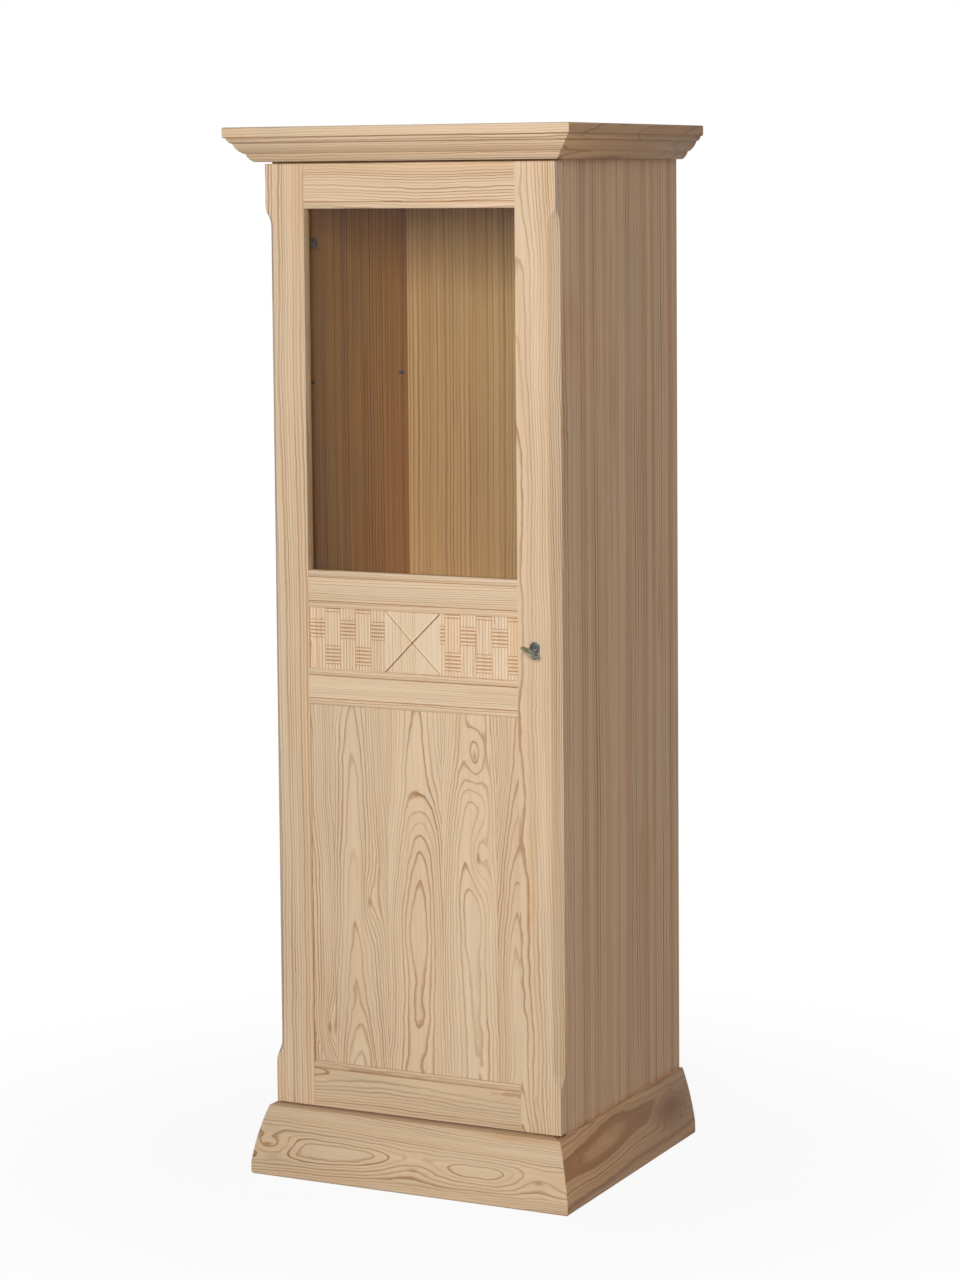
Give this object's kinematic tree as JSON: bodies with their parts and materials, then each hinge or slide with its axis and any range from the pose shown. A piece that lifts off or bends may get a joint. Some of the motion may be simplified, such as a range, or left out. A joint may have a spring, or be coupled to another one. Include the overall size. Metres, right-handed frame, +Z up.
{
  "type": "display cabinet",
  "caption": "Tall pine display cabinet with a part-glazed locking door, a basket-weave carved band, a stepped cornice and a flared plinth.",
  "frame": {"origin": "on the floor under the middle of the cabinet's outer box", "axes": "+Z up, +X to the viewer's right, the door faces -Y"},
  "size_m": [0.679, 0.5946, 1.9],
  "materials": {
    "pine_front": "brushed, clear matt oil",
    "pine_side": "brushed, clear matt oil",
    "pine_inner": "planed, clear matt oil",
    "pine_plain": "planed, unfinished",
    "pine_carved": "carved and brushed",
    "clear_glass": "clear float glass",
    "dark_bronze": "dark burnished",
    "bright_steel": "nickel plated",
    "soft_buffer": "soft clear buffer"
  },
  "bodies": {
    "cabinet": {"plinth_front": "pine_front", "plinth_left": "pine_side", "plinth_right": "pine_side", "plinth_back_rail": "pine_plain", "plinth_front_ledge": "pine_plain", "plinth_corner_blocks": "pine_plain", "cornice_front": "pine_front", "cornice_left": "pine_side", "cornice_right": "pine_side", "cornice_base_board": "pine_plain", "cornice_top_board": "pine_plain", "cornice_back_rail": "pine_plain", "side_panel_left": "pine_side", "side_panel_right": "pine_side", "side_lipping_left": "pine_side", "side_lipping_right": "pine_side", "top_board": "pine_inner", "bottom_board": "pine_inner", "fixed_shelf": "pine_inner", "back_panel": "pine_inner", "upper_shelf_pins": "bright_steel", "lower_shelf_pins": "bright_steel", "hinge_plates": "bright_steel", "hinge_arms": "bright_steel", "hinge_plate_screws": "bright_steel", "strike_plate": "bright_steel", "strike_screws": "bright_steel"},
    "door": {"stile_hinge_side": "pine_front", "stile_lock_side": "pine_front", "rail_bottom": "pine_front", "rail_middle": "pine_front", "rail_under_glass": "pine_front", "rail_top": "pine_front", "lower_panel": "pine_front", "band_backing": "pine_plain", "woven_block_left": "pine_carved", "woven_block_right": "pine_carved", "pyramid_block": "pine_carved", "glass_pane": "clear_glass", "glazing_beads_level": "pine_front", "glazing_beads_upright": "pine_front", "escutcheon": "dark_bronze", "hinge_cups": "bright_steel", "hinge_cup_screws": "bright_steel", "lock_case": "bright_steel", "lock_screws": "bright_steel", "door_buffers": "soft_buffer"},
    "key_and_cam": {"key": "dark_bronze", "lock_cam": "bright_steel"},
    "bolt": {"lock_bolt": "bright_steel"},
    "shelf": {"loose_shelf": "pine_inner"}
  },
  "joints": [
    {"name": "door_swing", "type": "hinge", "parent": "cabinet", "child": "door", "pos_m": [-0.2805, -0.22565, 0.98], "axis": [0, 0, -1], "range_deg": [0, 105]},
    {"name": "key_turn", "type": "hinge", "parent": "door", "child": "key_and_cam", "pos_m": [0.241, -0.22565, 0.986], "axis": [0, 1, 0], "range_deg": [0, 90]},
    {"name": "bolt_slide", "type": "slide", "parent": "door", "child": "bolt", "axis": [1, 0, 0], "range_m": [0, 0.008]},
    {"name": "shelf_lift", "type": "slide", "parent": "cabinet", "child": "shelf", "axis": [0, 0, 1], "range_m": [0, 0.1]}
  ],
  "couplings": [
    {"joint": "bolt_slide", "follows": "key_turn", "m_per_rad": 0.00509}
  ]
}
